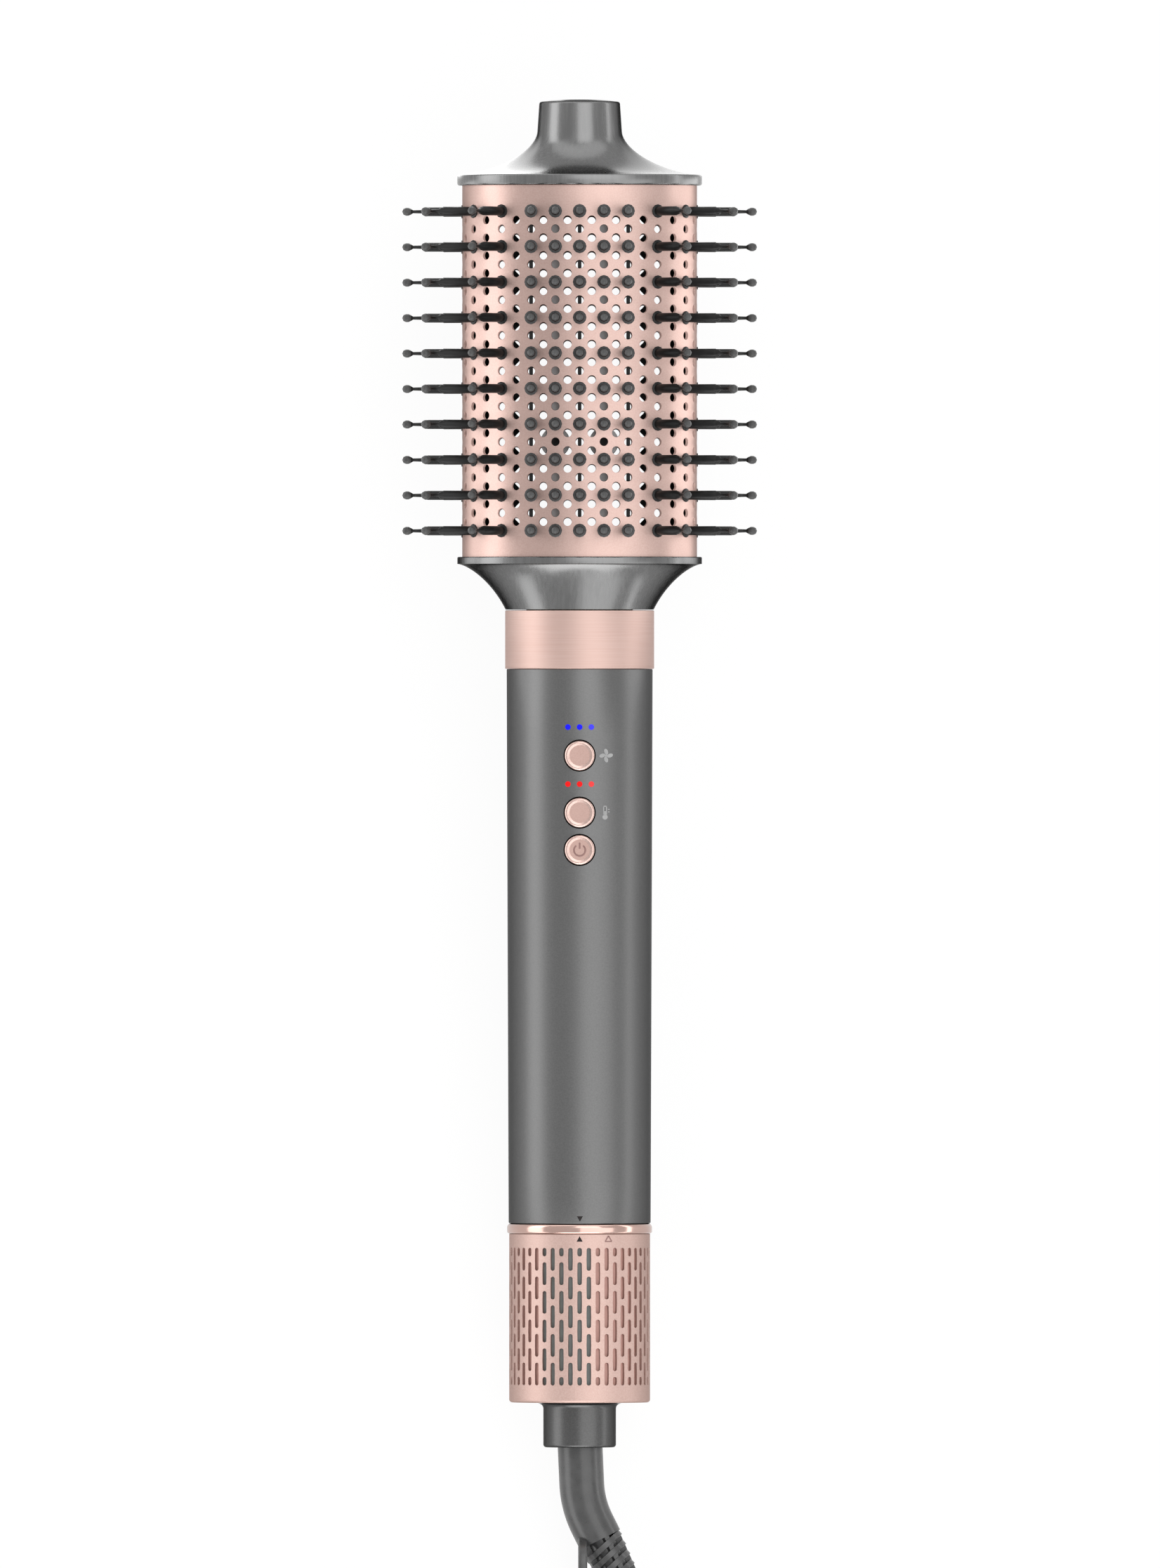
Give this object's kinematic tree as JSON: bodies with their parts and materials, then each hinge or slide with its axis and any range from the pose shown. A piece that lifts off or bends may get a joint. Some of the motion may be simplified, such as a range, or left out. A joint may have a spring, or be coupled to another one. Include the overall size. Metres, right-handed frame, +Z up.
{
  "type": "hot-air hair dryer brush",
  "caption": "Hot-air hair dryer brush with an oval perforated barrel, moulded pins, push buttons on a round handle, a twist-off slotted inlet cover and a coiled mains cord with a plug.",
  "frame": {"origin": "on the table under the middle of the tool without its mains cord", "axes": "+Y from the cord's end towards the tip, +Z up from the table, +X to the right seen from above with the tip away; the tool lies on its back with its buttons up, tilted by about 4.8 degrees"},
  "size_m": [0.1341, 0.5572, 0.0853],
  "materials": {
    "rose_metal": "satin anodised",
    "grey_satin": "satin metallic paint",
    "rose_satin": "satin metallic paint",
    "rose_gloss": "plated, glossy",
    "black_nylon": "smooth",
    "inner_plastic": "moulded",
    "steel": "machined",
    "mica": "matt",
    "board_green": "lacquered",
    "light_blue": "lit",
    "light_red": "lit",
    "dark_rubber": "smooth, matt",
    "pin_metal": "nickel plated"
  },
  "bodies": {
    "tool": {"end_cap": "grey_satin", "barrel": "rose_metal", "pin_strip_01": "black_nylon", "pin_strip_02": "black_nylon", "pin_strip_03": "black_nylon", "pin_strip_04": "black_nylon", "pin_strip_05": "black_nylon", "pin_strip_06": "black_nylon", "pin_strip_07": "black_nylon", "pin_strip_08": "black_nylon", "pin_strip_09": "black_nylon", "pin_strip_10": "black_nylon", "pin_strip_11": "black_nylon", "pin_strip_12": "black_nylon", "pin_strip_13": "black_nylon", "pin_strip_14": "black_nylon", "pin_strip_15": "black_nylon", "pin_strip_16": "black_nylon", "pin_strip_17": "black_nylon", "pin_strip_18": "black_nylon", "pin_strip_19": "black_nylon", "pin_strip_20": "black_nylon", "core_front": "inner_plastic", "core_back": "inner_plastic", "core_screws": "steel", "head_base": "grey_satin", "front_ring": "rose_satin", "handle_tube": "grey_satin", "button_guide": "inner_plastic", "fan_lights": "light_blue", "heat_lights": "light_red", "control_board": "board_green", "switches": "black_nylon", "fan_shroud": "inner_plastic", "motor": "steel", "motor_sleeve": "dark_rubber", "heater_sleeve": "mica", "heater_former": "mica", "heater_coil": "steel", "thermal_cutout": "inner_plastic", "trim_ring": "rose_gloss", "inlet_cage": "inner_plastic", "inlet_screen": "steel", "tail_plate": "inner_plastic", "cord_boot": "dark_rubber", "strain_relief": "dark_rubber", "hanging_loop": "dark_rubber", "cord_lead": "dark_rubber", "cord_coil": "dark_rubber", "cord_tie": "black_nylon", "plug_body": "dark_rubber", "plug_pins": "pin_metal"},
    "fan_button": {"fan_button": "rose_satin"},
    "heat_button": {"heat_button": "rose_satin"},
    "power_button": {"power_button": "rose_satin"},
    "impeller": {"impeller": "inner_plastic"},
    "filter_cover": {"filter_cover": "rose_satin"},
    "swivel_collar": {"swivel_collar": "grey_satin"}
  },
  "joints": [
    {"name": "fan_press", "type": "slide", "parent": "tool", "child": "fan_button", "axis": [0, 0.0832, -0.9965], "range_m": [0, 0.0006], "stiffness_N_per_m": 800, "springref_m": -0.0005},
    {"name": "heat_press", "type": "slide", "parent": "tool", "child": "heat_button", "axis": [0, 0.0832, -0.9965], "range_m": [0, 0.0006], "stiffness_N_per_m": 800, "springref_m": -0.0005},
    {"name": "power_press", "type": "slide", "parent": "tool", "child": "power_button", "axis": [0, 0.0832, -0.9965], "range_m": [0, 0.0006], "stiffness_N_per_m": 800, "springref_m": -0.0005},
    {"name": "impeller_spin", "type": "hinge", "parent": "tool", "child": "impeller", "pos_m": [0, -0.08371, 0.02414], "axis": [0, 0.9965, 0.0832], "continuous": true},
    {"name": "cover_twist", "type": "hinge", "parent": "tool", "child": "filter_cover", "pos_m": [0, -0.12357, 0.02082], "axis": [0, -0.9965, -0.0832], "range_deg": [0, 24.2]},
    {"name": "collar_swivel", "type": "hinge", "parent": "tool", "child": "swivel_collar", "pos_m": [0, -0.14948, 0.01865], "axis": [0, 0.9965, 0.0832], "continuous": true}
  ]
}
